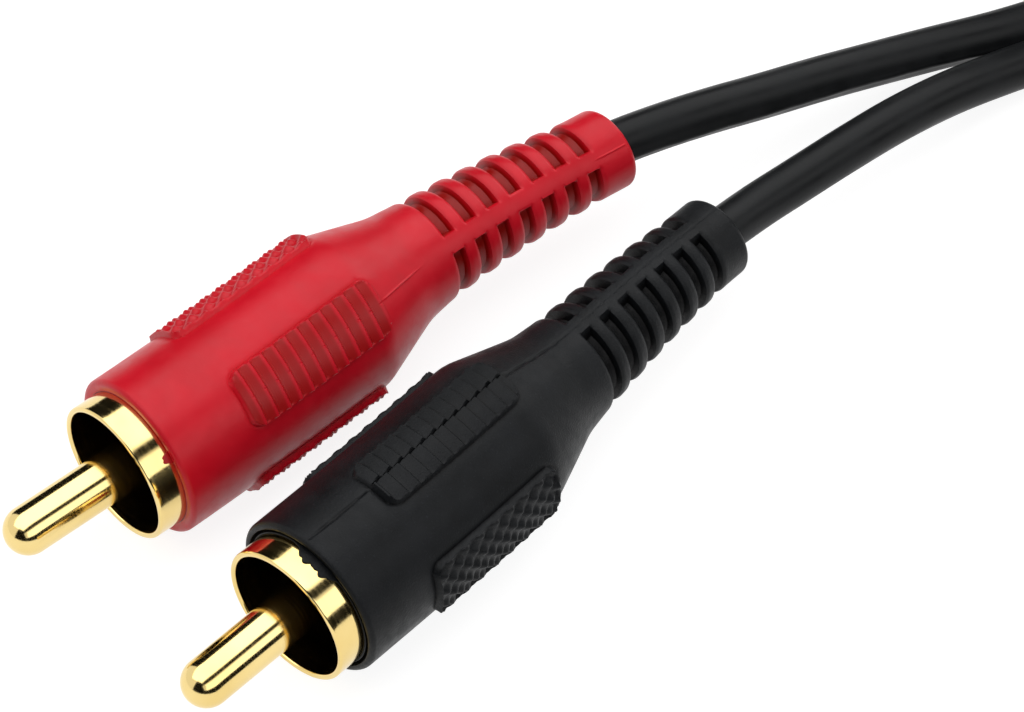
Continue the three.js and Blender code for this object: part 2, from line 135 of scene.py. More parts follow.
# "fine" is how close together a plug's points lie, against the near plugs.
PLUGS = [
    {
        "name": "red_plug",
        "colour": "red",
        "tip": (-8.345, -25.3, 5.599),
        "yaw": -NEAR_YAW,
        "roll": math.radians(43),
        "flex": [0, -0.25, -0.7, -1.12, -0.8, 0.05],
        "lift": [0, 0],
        "fine": 1.0,
    },
    {
        "name": "black_plug",
        "colour": "black",
        "tip": (8.345, -25.3, 6.06),
        "yaw": NEAR_YAW,
        "roll": 0,
        "flex": [0, -0.05, -0.3, -0.85, -1.52, -2.05],
        "lift": [0, 0, 0, -0.05, -0.32, -1.05],
        "fine": 1.0,
    },
    {
        "name": "red_far_plug",
        "colour": "red",
        "tip": (-6.25, 161.97, 19.56),
        "yaw": math.pi,
        "roll": 0,
        "flex": [0, 0],
        "lift": [0, 0],
        "fine": 0.5,
    },
    {
        "name": "black_far_plug",
        "colour": "black",
        "tip": (6.25, 161.97, 19.56),
        "yaw": math.pi,
        "roll": 0,
        "flex": [0, 0],
        "lift": [0, 0],
        "fine": 0.5,
    },
]

# The hank: the twin lead on edge in oblong turns, three abreast and two high
FOLD_RADIUS = 9.2
COLUMN_PITCH = 3.2
LAYER_HEIGHT = 6.6
HANK_START_Y = 80
HANK_RUN = 50
HANK_RADIUS = FOLD_RADIUS + 2 * COLUMN_PITCH + LEAD_RADIUS
HANK_HEIGHT = 2 * LAYER_HEIGHT
LOW_CORE = 1.6
HIGH_CORE = LOW_CORE + CORE_PITCH

# The tie, and how it draws the turns in and up
TIE_Y = HANK_START_Y + HANK_RUN / 2
TIE_SQUEEZE = 1.3
TIE_LIFT = 0.55
TIE_REACH = 9
TIE_HALF_WIDTH = 2.0
TIE_THICKNESS = 0.5
TIE_CORNER = 0.9
TWIST_LENGTH = 11.4
TWIST_HALF_TURNS = 5
TWIST_RADIUS = 0.32
TWIST_RISE = 0.1  # share of the twist in which its strands leave the band
STRAND_THICK, STRAND_WIDE = 0.36, 0.24

RED_NEAR_ROUTE = [
    (-5.15, 28.3, 5.4), (-3.97, 31.9, 5.2), (-2.82, 35.9, 4.6), (-1.7, 40.3, 3.85),
    (-0.4, 44.9, 3.05), (1.1, 49.5, 2.4), (2.7, 53.8, 1.95), (4.3, 58.2, 1.85),
    (6.5, 63.2, 2.75), (9.6, 68.1, 4.1), (12.9, 72.8, 4.85), (15.25, 77.35, 5.0),
]
BLACK_NEAR_ROUTE = [
    (3.75, 28.4, 4.5), (3.85, 32.2, 4.22), (4.05, 36.8, 3.98), (4.38, 41.6, 3.68),
    (4.85, 46.1, 3.12), (5.5, 50.4, 2.35), (6.2, 53.6, 1.85), (7.5, 57.2, 1.6),
    (9.5, 62, 1.6), (11.7, 67.2, 1.6), (13.9, 72.4, 1.6), (15.4, 77.3, 1.55),
]
RED_FAR_ROUTE = [
    (-15.6, 96, 13.3), (-15.3, 89, 16.4), (-14.6, 82, 18.1), (-12.4, 74.5, 18.3),
    (-7.5, 68.9, 18.3), (-1, 67, 18.3), (5, 69.2, 18.4), (8.2, 74.5, 18.6),
    (8.3, 81, 18.9), (5.6, 87.5, 19.1), (1, 93.5, 19.3), (-3.2, 99.5, 19.5),
    (-5.6, 105.5, 19.6),
]
BLACK_FAR_ROUTE = [
    (-15.6, 96, 9.8), (-15.3, 89, 12.9), (-14.6, 82, 14.6), (-12.4, 74.5, 14.8),
    (-7.5, 68.9, 14.8), (-1, 67, 14.8), (5.2, 69, 14.9), (8.8, 74.5, 15.1),
    (9.5, 81.5, 15.6), (9, 88.5, 16.6), (8.2, 95.5, 17.9), (7.2, 102.5, 19.1),
    (6.4, 108, 19.5),
]

# Turns of the hank: column and layer at the start and the end, and where each changes over.
# A place on a turn runs from 0 to 4: right run, far fold, left run, near fold.
LEFT_SOUTH = (2.55, 2.95)
LEFT_NORTH = (2.05, 2.42)
RIGHT_NORTH = (0.58, 0.97)
TURNS = [
    ((2, 0), (1, 0), LEFT_SOUTH),
    ((1, 0), (0, 0), LEFT_SOUTH),
    ((0, 0), (0, 1), LEFT_NORTH),
    ((0, 1), (1, 1), RIGHT_NORTH),
    ((1, 1), (2, 1), RIGHT_NORTH),
]
LAST_PLACE = 2.56
TURN_POINTS = 28


def make_camera():
    """The camera, where the photograph was taken."""
    data = bpy.data.cameras.new("camera")
    data.lens = 163.95
    data.sensor_width = 36
    data.sensor_fit = "HORIZONTAL"
    data.clip_start = 0.01
    camera = bpy.data.objects.new("camera", data)
    camera.location = Vector((139.127, -124.981, 232.787)) * MM
    target = Vector((-0.9354, 10.6992, 0)) * MM
    camera.rotation_euler = (target - camera.location).to_track_quat("-Z", "Y").to_euler()
    bpy.context.scene.collection.objects.link(camera)
    bpy.context.scene.camera = camera


make_camera()


# Meshes


def ramp(value, start, end):
    """0 before start, 1 after end, and smooth between them."""
    t = np.clip((value - start) / (end - start), 0, 1)
    return t * t * (3 - 2 * t)


def hermite(u, start, start_slope, end, end_slope):
    """The cubic with the given ends and slopes, at u from 0 to 1."""
    return (
        (2 * u**3 - 3 * u**2 + 1) * start
        + (u**3 - 2 * u**2 + u) * start_slope
        + (3 * u**2 - 2 * u**3) * end
        + (u**3 - u**2) * end_slope
    )


def grid_object(name, points, capped=(False, False), sharp=40, attributes=()):
    """A mesh from rows of points, each row closed into a ring; points are in millimetres."""
    rows, columns = points.shape[:2]
    index = np.arange(rows * columns).reshape(rows, columns)
    beside = np.roll(index, -1, axis=1)
    quads = np.stack([index[:-1], beside[:-1], beside[1:], index[1:]], axis=-1)
    faces = quads.reshape(-1, 4).tolist()
    if capped[0]:
        faces.append(index[0][::-1].tolist())
    if capped[1]:
        faces.append(index[-1].tolist())
    mesh = bpy.data.meshes.new(name)
    mesh.from_pydata((points.reshape(-1, 3) * MM).tolist(), [], faces)
    mesh.polygons.foreach_set("use_smooth", np.ones(len(faces), dtype=bool))
    mesh.set_sharp_from_angle(angle=math.radians(sharp))
    for label, values in attributes:
        attribute = mesh.attributes.new(label, "FLOAT", "POINT")
        attribute.data.foreach_set("value", values.reshape(-1).astype(np.float32))
    mesh.update()
    piece = bpy.data.objects.new(name, mesh)
    bpy.context.scene.collection.objects.link(piece)
    return piece


def flex_at(station, offsets):
    """The sideways or upward set of a plug at each station, as in its solids."""
    last = len(offsets) - 1
    offsets = np.array(offsets, float)
    place = np.clip((station - FLEX_START) / FLEX_STEP, 0, last)
    i = np.minimum(np.floor(place).astype(int), last - 1)
    u = place - i
    before, start, end, after = (offsets[np.clip(i + k, 0, last)] for k in (-1, 0, 1, 2))
    return hermite(u, start, (end - before) / 2, end, (after - start) / 2)


def plug_points(plug, station, angle, radius):
    """Points about a plug's axis, put where the plug lies. The angle runs from up towards +X."""
    station, angle, radius = np.broadcast_arrays(station, angle, radius)
    turned = angle + plug["roll"]
    x = radius * np.sin(turned) + flex_at(station, plug["flex"])
    z = radius * np.cos(turned) + flex_at(station, plug["lift"])
    cos, sin = math.cos(plug["yaw"]), math.sin(plug["yaw"])
    tip = plug["tip"]
    return np.stack(
        [x * cos - station * sin + tip[0], x * sin + station * cos + tip[1], z + tip[2]], axis=-1
    )


def arc(radius, station, round_radius, start, end, steps):
    """Profile points round a corner, from one angle to another about its centre."""
    angles = np.linspace(math.radians(start), math.radians(end), steps + 1)
    return [
        (radius + round_radius * math.cos(a), station + round_radius * math.sin(a))
        for a in angles
    ]


def lathe(plug, part, profile, sides, capped=(False, False), inside=0):
    """A turned piece of a plug from [radius, station] points, the first few of them inside it and
    painted with shade.
    """
    radius, station = (np.array(c)[:, None] for c in zip(*profile))
    angle = np.arange(sides)[None, :] * 2 * math.pi / sides
    points = plug_points(plug, station, angle, radius)
    painted_shade = np.zeros(points.shape[:2])
    painted_shade[:inside] = 1
    name = f"{plug['name']}_{part}_look"
    return grid_object(name, points, capped, attributes=[("painted_shade", painted_shade)])


def smooth_path(points, spacing):
    """An even run of points along a smooth curve through the given ones, and its length."""
    points = np.array(points, float)
    padded = np.vstack([2 * points[0] - points[1], points, 2 * points[-1] - points[-2]])
    fine = []
    u = np.linspace(0, 1, 24, endpoint=False)[:, None]
    for i in range(1, len(padded) - 2):
        p0, p1, p2, p3 = padded[i - 1 : i + 3]
        d0, d1, d2 = (math.sqrt(np.linalg.norm(b - a)) for a, b in ((p0, p1), (p1, p2), (p2, p3)))
        leave = ((p1 - p0) / d0 - (p2 - p0) / (d0 + d1) + (p2 - p1) / d1) * d1
        reach = ((p2 - p1) / d1 - (p3 - p1) / (d1 + d2) + (p3 - p2) / d2) * d1
        fine.append(hermite(u, p1, leave, p2, reach))
    fine = np.vstack([*fine, points[-1:]])
    travel = np.concatenate([[0], np.cumsum(np.linalg.norm(np.diff(fine, axis=0), axis=1))])
    even = np.linspace(0, travel[-1], max(2, round(travel[-1] / spacing)) + 1)
    return np.stack([np.interp(even, travel, fine[:, k]) for k in range(3)], axis=1), travel[-1]


def unit(vectors):
    return vectors / np.linalg.norm(vectors, axis=-1, keepdims=True)


# The leads


def hank_points(core_height):
    """The turns of one core, as points in order."""
    points = []
    for number, (start, end, (leave, arrive)) in enumerate(TURNS):
        last = number == len(TURNS) - 1
        places = np.arange(0, 4, 4 / TURN_POINTS)
        if last:
            places = places[places < LAST_PLACE]
        if number == 0:
            places = places[places > 0.03]
        for place in places:
            share = ramp(place, leave, arrive)
            radius = FOLD_RADIUS + COLUMN_PITCH * (start[0] + (end[0] - start[0]) * share)
            z = core_height + LAYER_HEIGHT * (start[1] + (end[1] - start[1]) * share)
            along = place % 1
            turn = math.pi * along
            stretch = int(place)
            if stretch == 0:
                x, y = radius, HANK_START_Y + HANK_RUN * along
            elif stretch == 1:
                x = radius * math.cos(turn)
                y = HANK_START_Y + HANK_RUN + radius * math.sin(turn)
            elif stretch == 2:
                x, y = -radius, HANK_START_Y + HANK_RUN * (1 - along)
            else:
                x = -radius * math.cos(turn)
                y = HANK_START_Y - radius * math.sin(turn)
            points.append((x, y, z))
    return points


def tied(path):
    """The path drawn in and lifted where the tie goes round the hank."""
    x, y, z = path.T
    near = np.exp(-(((y - TIE_Y) / TIE_REACH) ** 2)) * ramp(np.abs(x), 8, 9.2) * (z < 13)
    return np.stack([x - np.sign(x) * TIE_SQUEEZE * near, y, z + TIE_LIFT * near], axis=1)


def lead_path(plug, near_route, core_height, far_route, far_plug):
    """The centreline of one core from collar to collar, its length and where it starts."""
    inside = plug_points(plug, np.array([PLUG_LENGTH - LEAD_INSIDE]), 0, 0)[0]
    exit_point = plug_points(plug, np.array([PLUG_LENGTH + GAP]), 0, 0)[0]
    turns = hank_points(core_height)
    points = [inside, exit_point, *near_route, *turns, *far_route]
    x, tip, z = far_plug["tip"]
    collar = tip - PLUG_LENGTH
    points += [(x, collar - GAP, z), (x, collar + LEAD_INSIDE, z)]
    path, length = smooth_path(points, RING_SPACING)
    return tied(path), length, exit_point


def smoothed(values, reach):
    """A running mean along the first axis."""
    window = np.hanning(2 * reach + 1)
    window /= window.sum()
    padded = np.pad(values, ((reach, reach), (0, 0)), mode="edge")
    return np.stack([np.convolve(padded[:, k], window, "valid") for k in range(3)], axis=1)


# Angles round a core, close together beside its web
HALF_SECTION = [0, 4, 8, 13, 22, 36, 54, 72, 90, 108, 126, 144, 162]
SECTION_ANGLES = np.radians(HALF_SECTION + [180] + [360 - a for a in HALF_SECTION[:0:-1]])


def lead_object(name, path, partner):
    """A core with the web on the side that faces its partner."""
    tangent = unit(np.gradient(path, axis=0))
    every = 3
    gaps = np.linalg.norm(path[:, None] - partner[None, ::every], axis=-1)
    nearest = gaps.argmin(axis=1) * every
    towards = partner[nearest] - path
    apart = gaps.min(axis=1)
    towards = smoothed(unit(towards), 9)
    towards = unit(towards - tangent * (towards * tangent).sum(axis=1, keepdims=True))
    across = np.cross(tangent, towards)
    angle = SECTION_ANGLES[None, :]
    from_web = np.minimum(angle, 2 * math.pi - angle)
    joined = 1 - ramp(apart, JOINED_APART, TORN_APART)[:, None]
    travel = np.arange(len(path))[:, None] * RING_SPACING
    torn = TORN_HEIGHT + TORN_RAGGED * np.sin(travel * 1.9) * np.sin(travel * 0.73 + 1)
    height = joined * WEB_HEIGHT + (1 - joined) * torn
    radius = LEAD_RADIUS + height * np.exp(-((from_web / WEB_HALF_ANGLE) ** 2))
    points = (
        path[:, None, :]
        + (radius * np.cos(angle))[..., None] * towards[:, None, :]
        + (radius * np.sin(angle))[..., None] * across[:, None, :]
    )
    return grid_object(name, points, (True, True), 60)


red_near, black_near, red_far, black_far = PLUGS
red_path, red_length, red_exit = lead_path(
    red_near, RED_NEAR_ROUTE, HIGH_CORE, RED_FAR_ROUTE, red_far
)
black_path, black_length, black_exit = lead_path(
    black_near, BLACK_NEAR_ROUTE, LOW_CORE, BLACK_FAR_ROUTE, black_far
)
red_lead = lead_object("red_lead", red_path, black_path)
black_lead = lead_object("black_lead", black_path, red_path)


# The mouldings


def stations_between(start, end, step):
    """Even stations from start up to, and without, end."""
    count = max(1, math.ceil((end - start) / step))
    return list(np.linspace(start, end, count, endpoint=False))


# Offsets of stations from a slot's front edge, and mirrored from its back edge
SLOT_EDGE = (-0.35, -0.24, -0.15, -0.08, -0.01, 0.03, 0.12, 0.25)


def moulding_stations(fine):
    """Stations along the moulding, close together on the pads and at the slots' edges."""
    step = 0.1 / fine
    stations = stations_between(FRONT + BODY_ROUND, PADS_START - 0.1, 0.45)
    stations += stations_between(PADS_START - 0.1, PADS_END + 0.1, step)
    stations += stations_between(PADS_END + 0.1, NECK_END, 0.3)
    stations += stations_between(NECK_END, RELIEF_START - 0.1, 0.25)
    for i in range(SLOT_COUNT):
        front = SLOT_START + i * SLOT_PITCH
        back = front + SLOT_WIDTH
        stations += [front + offset for offset in SLOT_EDGE]
        stations += [(front + back) / 2]
        stations += [back - offset for offset in SLOT_EDGE]
        stations += [back + (SLOT_PITCH - SLOT_WIDTH) / 2]
    stations += stations_between(RELIEF_END, PLUG_LENGTH - COLLAR_ROUND, 0.3)
    stations += [PLUG_LENGTH - COLLAR_ROUND]
    stations = np.array(sorted(stations))
    keep = np.concatenate([[True], np.diff(stations) > 0.015])
    return stations[keep]


def moulding_angles(fine):
    """Angles round the moulding, close together on the pads and beside the seam."""
    per_mm = 1 / BODY_RADIUS
    wall_start = RIDGED_HALF_ANGLE - 0.45 * per_mm
    wall_end = RIDGED_HALF_ANGLE + 0.12 * per_mm
    side_start = math.pi / 2 - SIDE_HALF_ANGLE - 0.12 * per_mm
    quarter = [u * per_mm for u in (0, 0.05, 0.1, 0.16, 0.24)]
    quarter += stations_between(0.34 * per_mm, wall_start, 0.2 * per_mm / fine)
    quarter += stations_between(wall_start, wall_end, 0.08 * per_mm / fine)
    quarter += stations_between(wall_end, side_start, 0.4 * per_mm)
    quarter += stations_between(side_start, math.pi / 2, 0.1 * per_mm / fine)
    quarter = np.array(quarter)
    half = np.concatenate([quarter, [math.pi / 2], math.pi - quarter[::-1]])
    angles = np.concatenate([half, 2 * math.pi - half[-2:0:-1]])
    return np.unique(np.round(angles, 6))


def base_radius(station):
    """The moulding's radius without its pads and slots."""
    return np.interp(
        station,
        [FRONT, BODY_END, NECK_END, RELIEF_START, RELIEF_END, PLUG_LENGTH],
        [BODY_RADIUS, BODY_RADIUS, NECK_RADIUS, RELIEF_RADIUS, COLLAR_RADIUS, COLLAR_RADIUS],
    )


def blended_radius(station):
    """The same radius with its corners eased."""
    return sum(base_radius(station + o) for o in (-0.5, -0.25, 0, 0.25, 0.5)) / 5


def from_edge(across, along, half_width, length, corner):
    """How far a point lies inside a rounded rectangle, in millimetres."""
    dx = np.abs(across) - (half_width - corner)
    dy = np.abs(along - length / 2) - (length / 2 - corner)
    outside = np.hypot(np.maximum(dx, 0), np.maximum(dy, 0))
    return corner - outside - np.minimum(np.maximum(dx, dy), 0)


def moulding_surface(station, angle, black):
    """The radius, and the painted shade of its grooves, slots, seam and pad feet, over stations
    and angles.
    """
    radius = np.repeat(blended_radius(station), angle.shape[1], axis=1)
    painted_shade = np.zeros_like(radius)
    middle = BODY_RADIUS + PAD_HEIGHT / 2

    def around(centre):
        return (np.mod(angle - centre + math.pi, 2 * math.pi) - math.pi) * middle

    def raised(across, along, half_angle, length, height, valley, depth, border, shade):
        """Raises one pad with its valleys, and sinks a thin line round its foot; painted shade
        goes in the valleys and on the foot line.
        """
        nonlocal radius, painted_shade
        inside = from_edge(across, along, half_angle * middle, length, PAD_CORNER)
        within = ramp(inside, border, border + 0.2)
        foot = np.exp(-(((inside + 0.07) / 0.08) ** 2))
        rise = height * ramp(inside, 0, PAD_WALL)
        radius = radius + rise - depth * valley * within - FOOT_DEPTH * foot
        painted_shade = np.maximum(painted_shade, np.maximum(shade * within, foot * (1 if black else 0.45)))

    # Ridged pads; on the black plugs the two mould halves are half a ridge off. Their valleys,
    # and the parting line on the black plugs, get painted shade.
    pitch = RIDGED_LENGTH / RIDGE_COUNT
    along = station - RIDGED_START
    for centre in (0, math.pi):
        across = around(centre)
        slip = 0.5 * (across > 0) if black else 0
        phase = np.mod(along / pitch + slip, 1)
        steep = (phase - RIDGE_FACE) / (1 - RIDGE_FACE)
        valley = np.where(phase < RIDGE_FACE, 1 - phase / RIDGE_FACE, steep)
        line = np.exp(-((across / (0.07 if black else 0.04)) ** 2))
        if black:
            shade = np.maximum(0.8 * ramp(valley, 0.7, 1), 0.9 * line)
        else:
            shade = 0.65 * ramp(valley, 0.08, 0.35)
        valley = np.maximum(valley, line * (1 if black else 0.25))
        size = (RIDGED_HALF_ANGLE, RIDGED_LENGTH, PAD_HEIGHT)
        raised(across, along, *size, valley, RIDGE_DEPTH, 0, shade)

    # Knurled pads, with painted shade in their valleys
    for centre, start, length, height in KNURLED_PADS:
        across = around(centre)
        along = station - start
        one = np.abs(2 * np.mod((across + along) / KNURL_PITCH, 1) - 1)
        other = np.abs(2 * np.mod((across - along) / KNURL_PITCH, 1) - 1)
        valley = 1 - (1 - one**KNURL_ROUND) * (1 - other**KNURL_ROUND)
        shade = (0.15 if black else 0.3) * valley
        size = (SIDE_HALF_ANGLE, length, height)
        raised(across, along, *size, valley, KNURL_DEPTH, KNURL_BORDER, shade)

    # Seam in the parting plane: a groove on the black plugs, darkened with painted shade, and a
    # fine raised line on the red
    behind_pads = ramp(station, PADS_END + 0.1, PADS_END + 0.3)
    across = np.abs(np.sin(angle)) * radius
    if black:
        before_pads = 1 - ramp(station, RIDGED_START - 0.3, RIDGED_START - 0.1)
        off_pads = np.maximum(before_pads, behind_pads)
        wave = 0.05 * np.sin(station * 5.3) + 0.04 * np.sin(station * 13.1 + 1)
        seam = np.exp(-(((across + wave) / 0.07) ** 2)) * off_pads
        seam = seam * (1 - 0.75 * ramp(station, NECK_END - 1, RELIEF_START))
        radius = radius - 0.1 * seam
        painted_shade = np.maximum(painted_shade, seam)
    else:
        seam = np.exp(-((across / 0.06) ** 2)) * behind_pads
        relief = ramp(station, NECK_END - 1, NECK_END)
        relief = relief * (1 - ramp(station, RELIEF_END - 1, RELIEF_END))
        radius = radius + 0.05 * seam * (1 - relief)

    # Slots of the strain relief, stopped by the two ribs, with painted shade that grows with how
    # far the cut goes below the surface
    for i in range(SLOT_COUNT):
        front = SLOT_START + i * SLOT_PITCH
        back = front + SLOT_WIDTH
        into = np.minimum(station - front, back - station)
        rib = RIB_HALF_WIDTH / np.maximum(np.abs(np.sin(angle)), 1e-3)
        floor = base_radius(front) - SLOT_DEPTH * (1 - SLOT_SHALLOWING * np.sin(angle) ** 2)
        cut = np.maximum(floor + 0.1 * (1 - ramp(into, 0, 0.25)), rib)
        cut = np.minimum(cut, radius)
        near = np.clip((into + FIN_ROUND) / FIN_ROUND, 0, 1)
        beside = np.abs(np.sin(angle)) * radius
        off_rib = ramp(beside, RIB_HALF_WIDTH - 0.15, RIB_HALF_WIDTH + 0.1)
        eased = radius - FIN_DROP * near**2 * off_rib
        radius = np.where(into > 0, cut, eased)
        painted_shade_mask = ramp(base_radius(station) - radius, 0.12, 0.6)
        painted_shade = np.maximum(painted_shade, np.where(into > 0, painted_shade_mask, 0))
    return radius, painted_shade


SKIN = 0.02  # between the shell and the plastic moulded on it
SHOWN_FRONT_ROWS = 5  # rows of the front corner that aren't dark


def make_moulding(plug):
    """One moulding as a mesh of rows along it, from inside its front to inside its collar."""
    fine = plug["fine"]
    black = plug["colour"] == "black"
    angle = moulding_angles(fine)[None, :]
    station = moulding_stations(fine)[:, None]
    radius, painted_shade = moulding_surface(station, angle, black)
    station = np.repeat(station, angle.shape[1], axis=1)
    recess, lip = (MOULDINGS[plug["colour"]][size] for size in ("recess", "lip"))
    opening = SHELL_RADIUS + SKIN
    front = [(opening, SHELL_END), (opening, FRONT + recess + 0.1)]
    front += [(SHELL_RADIUS + lip / 2, FRONT + recess), (SHELL_RADIUS + lip, FRONT + 0.03)]
    front += arc(BODY_RADIUS - BODY_ROUND, FRONT + BODY_ROUND, BODY_ROUND, -90, -10, 6)
    collar_end = PLUG_LENGTH - COLLAR_ROUND
    back = arc(COLLAR_RADIUS - COLLAR_ROUND, collar_end, COLLAR_ROUND, 10, 90, 7)
    back += [(LEAD_RADIUS + 0.12, PLUG_LENGTH), (LEAD_RADIUS + 0.04, PLUG_LENGTH - 0.12)]
    back += [(LEAD_RADIUS + 0.03, PLUG_LENGTH - 1)]

    def rows(profile):
        columns = (np.array(c)[:, None] for c in zip(*profile))
        radii, stations = (np.repeat(c, angle.shape[1], axis=1) for c in columns)
        return stations, radii

    front_station, front_radius = rows(front)
    back_station, back_radius = rows(back)
    stations = np.vstack([front_station, station, back_station])
    radii = np.vstack([front_radius, radius, back_radius])
    # The black plugs' front opening and lip get full painted shade, all but the outer rows of the
    # front corner
    painted_shade_mask = np.vstack([np.full_like(front_radius, black), painted_shade, np.zeros_like(back_radius)])
    painted_shade_mask[len(front) - SHOWN_FRONT_ROWS : len(front)] = 0
    points = plug_points(plug, stations, angle, radii)
    return grid_object(f"{plug['name']}_moulding_look", points, attributes=[("painted_shade", painted_shade_mask)])


def make_flash(plug):
    """The thin ragged skin of plastic that runs over the shell where the mould halves meet."""
    angle = np.linspace(-math.pi, math.pi, 720, endpoint=False)[None, :]
    centre, width, reach = MOULDINGS[plug["colour"]]["flash"]
    rough = 0.45 + 0.3 * np.abs(np.sin(angle * 9 + 0.9)) + 0.25 * np.abs(np.sin(angle * 23 + 2))
    tongue = reach * np.exp(-(((angle - centre) / width) ** 4)) * rough - 0.03
    hidden = np.full_like(tongue, FRONT + 0.3)
    station = np.vstack([hidden, FRONT - tongue, FRONT - tongue + 0.04, hidden])
    radius = SHELL_RADIUS + np.array([SKIN, SKIN, 0.09, 0.09])[:, None]
    points = plug_points(plug, station, angle, radius)
    # The flash is given 0.6 of the painted shade
    painted_shade_mask = np.full_like(station, 0.6)
    return grid_object(f"{plug['name']}_flash", points, sharp=30, attributes=[("painted_shade", painted_shade_mask)])


def make_plug(plug):
    """The looks of one plug's pieces by the node that each stands for."""
    pin = arc(0, PIN_RADIUS, PIN_RADIUS, -89.5, 0, 14)
    pin += [(PIN_RADIUS, PIN_RADIUS + 0.3), (PIN_RADIUS, RIM), (PIN_RADIUS, SHELL_END)]
    pin += [(PIN_NECK_RADIUS, SHELL_END), (PIN_NECK_RADIUS, PIN_END)]
    bore = SHELL_RADIUS - SHELL_WALL
    rim = RIM + RIM_ROUND
    shell = [(bore, SHELL_END), (bore, INSULATOR_FACE), (bore, rim + 2), (bore, rim + 0.3)]
    shell += arc(bore + RIM_ROUND, rim, RIM_ROUND, 180, 270, 5)
    shell += arc(SHELL_RADIUS - RIM_ROUND, rim, RIM_ROUND, -90, 0, 5)
    shell += [(SHELL_RADIUS, rim + 0.3), (SHELL_RADIUS, FRONT), (SHELL_RADIUS, SHELL_END)]
    shell += [(bore, SHELL_END)]
    inner = PIN_RADIUS + FIT
    outer = bore - FIT
    groove = INSULATOR_FACE + 0.25
    insulator = [(inner, SHELL_END), (inner, INSULATOR_FACE + 0.2)]
    insulator += [(inner + 0.15, INSULATOR_FACE), (inner + 0.7, INSULATOR_FACE)]
    insulator += [(inner + 0.8, groove), (outer - 0.5, groove)]
    insulator += [(outer - 0.4, INSULATOR_FACE), (outer, INSULATOR_FACE), (outer, SHELL_END)]
    insulator += [(inner, SHELL_END)]
    sides = 128 if plug["fine"] == 1 else 64
    return {
        "pin": lathe(plug, "pin", pin, sides, (True, True)),
        "shell": lathe(plug, "shell", shell, sides, inside=3),
        "insulator": lathe(plug, "insulator", insulator, 64),
        "moulding": make_moulding(plug),
    }


looks = {plug["name"]: make_plug(plug) for plug in PLUGS}
flashes = {plug["name"]: make_flash(plug) for plug in (red_near, black_near)}


# The tie: a flat covered wire round the hank, with its two ends twisted together


def rounded_loop(half_width, bottom, top, corner, steps):
    """Points round a rounded rectangle across the hank, with the outward direction at each."""
    points, outward = [], []
    centres = [
        (half_width - corner, top - corner, 0),
        (-half_width + corner, top - corner, 90),
        (-half_width + corner, bottom + corner, 180),
        (half_width - corner, bottom + corner, 270),
    ]
    for x, z, start in centres:
        for a in np.radians(np.linspace(start, start + 90, steps)):
            outward.append((math.cos(a), 0, math.sin(a)))
            points.append((x + corner * math.cos(a), TIE_Y, z + corner * math.sin(a)))
    return np.array(points), np.array(outward)


def make_tie():
    """The band round the hank, and the two strands of its twisted end."""
    half = TIE_HALF_WIDTH
    section = [
        (-half, 0.14), (-half, 0.36), (-half + 0.15, 0.42), (-0.5, 0.42), (-0.3, 0.5),
        (0.3, 0.5), (0.5, 0.42), (half - 0.15, 0.42), (half, 0.36), (half, 0.14),
        (half - 0.15, 0.04), (0.5, 0.04), (0, 0), (-0.5, 0.04), (-half + 0.15, 0.04),
    ]
    loop, outward = rounded_loop(
        HANK_RADIUS - TIE_THICKNESS, TIE_THICKNESS, HANK_HEIGHT + GAP, TIE_CORNER, 8
    )
    along, height = (np.array(c) for c in zip(*section))
    points = loop[None] + outward[None] * height[:, None, None]
    points[..., 1] += along[:, None]
    rows = np.concatenate([points, points[:1]])
    band = grid_object("tie_band", rows[::-1], sharp=50)
    t = np.linspace(0, 1, 60)
    rise = ramp(t, 0, TWIST_RISE)
    strands = []
    for side in (0, math.pi):
        turn = side + t * TWIST_HALF_TURNS * math.pi
        x = HANK_RADIUS + 0.15 + 0.85 * rise + TWIST_RADIUS * np.cos(turn) * rise
        y = TIE_Y + 0.3 + TWIST_LENGTH * t
        z = HANK_HEIGHT / 2 + TWIST_RADIUS * np.sin(turn)
        centre = np.stack([x, y, z], axis=1)
        wide = np.stack([np.cos(turn), np.zeros_like(turn), np.sin(turn)], axis=1)
        tangent = unit(np.gradient(centre, axis=0))
        thin = np.cross(tangent, wide)
        a = np.arange(10)[None, :] * 2 * math.pi / 10
        points = (
            centre[:, None]
            + (STRAND_THICK * np.cos(a))[..., None] * thin[:, None]
            + (STRAND_WIDE * np.sin(a))[..., None] * wide[:, None]
        )
        strands.append(grid_object(f"tie_strand_{len(strands) + 1}", points, (True, True), 60))
    return [band, *strands]


tie = make_tie()


# Materials


def seen_directly(tree):
    """1 for rays of the camera and of reflections, and 0 for those that light the object."""
    path = tree.nodes.new("ShaderNodeLightPath")
    seen = path.outputs["Is Camera Ray"]
    for ray in ("Is Transmission Ray", "Is Glossy Ray"):
        either = tree.nodes.new("ShaderNodeMath")
        either.operation = "MAXIMUM"
        tree.links.new(seen, either.inputs[0])
        tree.links.new(path.outputs[ray], either.inputs[1])
        seen = either.outputs[0]
    return seen


